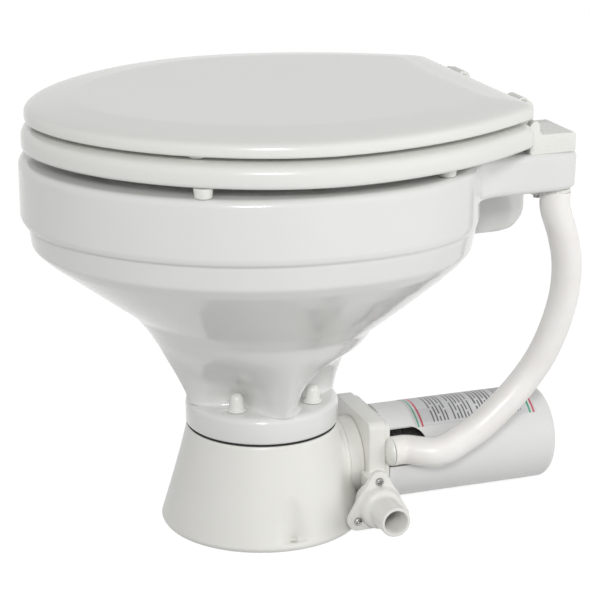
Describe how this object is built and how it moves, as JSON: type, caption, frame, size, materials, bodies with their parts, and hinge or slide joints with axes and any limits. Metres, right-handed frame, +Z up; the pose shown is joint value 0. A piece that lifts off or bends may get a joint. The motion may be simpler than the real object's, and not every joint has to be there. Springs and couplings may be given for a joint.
{
  "type": "electric marine toilet",
  "caption": "Compact boat toilet: ceramic bowl with seat and lid on a moulded base, with macerator discharge pump, rinse pump, motor and hose.",
  "frame": {"origin": "centre of the bounding box's underside, on the floor", "axes": "+Z up, -Y the front of the bowl, +Y towards the hinges and the motor, +X the side of the discharge port and the hose"},
  "size_m": [0.366, 0.4572, 0.3703],
  "materials": {
    "ceramic": "gloss white vitreous glaze",
    "seat_enamel": "gloss off-white enamel",
    "housing_plastic": "semi-gloss off-white moulding",
    "fitting_plastic": "semi-gloss off-white moulding",
    "hose_vinyl": "smooth flexible off-white vinyl",
    "shroud_paint": "satin white paint",
    "black_rubber": "matt black",
    "stainless": "bright stainless steel",
    "winding": "bare copper"
  },
  "bodies": {
    "root": {"base": "housing_plastic", "base_gasket": "black_rubber", "bowl": "ceramic", "bowl_spigot": "fitting_plastic", "macerator_housing": "housing_plastic", "spigot_o_ring": "black_rubber", "pump_body": "housing_plastic", "choke_plate": "stainless", "discharge_port": "housing_plastic", "joker_valve": "black_rubber", "rinse_pump_body": "fitting_plastic", "rinse_cover_plate": "stainless", "shaft_seal": "black_rubber", "motor_end_bell": "stainless", "front_bearing": "stainless", "motor_case": "stainless", "rear_bearing": "stainless", "motor_cover": "shroud_paint", "rinse_hose": "hose_vinyl", "foot_bolt_1": "stainless", "foot_cap_1": "fitting_plastic", "through_bolt_1": "stainless", "foot_bolt_2": "stainless", "foot_cap_2": "fitting_plastic", "through_bolt_2": "stainless", "foot_bolt_3": "stainless", "foot_cap_3": "fitting_plastic", "through_bolt_3": "stainless", "foot_bolt_4": "stainless", "foot_cap_4": "fitting_plastic", "through_bolt_4": "stainless", "port_screw_1": "stainless", "port_screw_2": "stainless", "port_screw_3": "stainless", "hinge_base_left": "fitting_plastic", "hinge_cover_left": "fitting_plastic", "hinge_nut_left": "fitting_plastic", "hinge_bolt_left": "stainless", "hinge_base_right": "fitting_plastic", "hinge_cover_right": "fitting_plastic", "hinge_nut_right": "fitting_plastic", "hinge_bolt_right": "stainless"},
    "seat": {"seat": "seat_enamel", "seat_leaf_left": "fitting_plastic", "seat_leaf_right": "fitting_plastic", "seat_bumper_1": "fitting_plastic", "seat_bumper_2": "fitting_plastic", "seat_bumper_3": "fitting_plastic", "seat_bumper_4": "fitting_plastic"},
    "lid": {"lid": "seat_enamel", "lid_leaf_left": "fitting_plastic", "lid_leaf_right": "fitting_plastic", "lid_bumper_1": "fitting_plastic", "lid_bumper_2": "fitting_plastic"},
    "rotor": {"motor_shaft": "stainless", "macerator_blade": "stainless", "discharge_impeller": "fitting_plastic", "flexible_impeller": "black_rubber", "armature": "winding", "commutator": "winding"}
  },
  "joints": [
    {"name": "seat_hinge", "type": "hinge", "parent": "root", "child": "seat", "pos_m": [0, 0.1696, 0.356], "axis": [-1, 0, 0], "range_deg": [0, 92]},
    {"name": "lid_hinge", "type": "hinge", "parent": "seat", "child": "lid", "pos_m": [0, 0.1696, 0.356], "axis": [-1, 0, 0], "range_deg": [0, 92]},
    {"name": "pump_shaft", "type": "hinge", "parent": "root", "child": "rotor", "pos_m": [0, 0.0686, 0.0435], "axis": [0, 1, 0], "continuous": true}
  ]
}
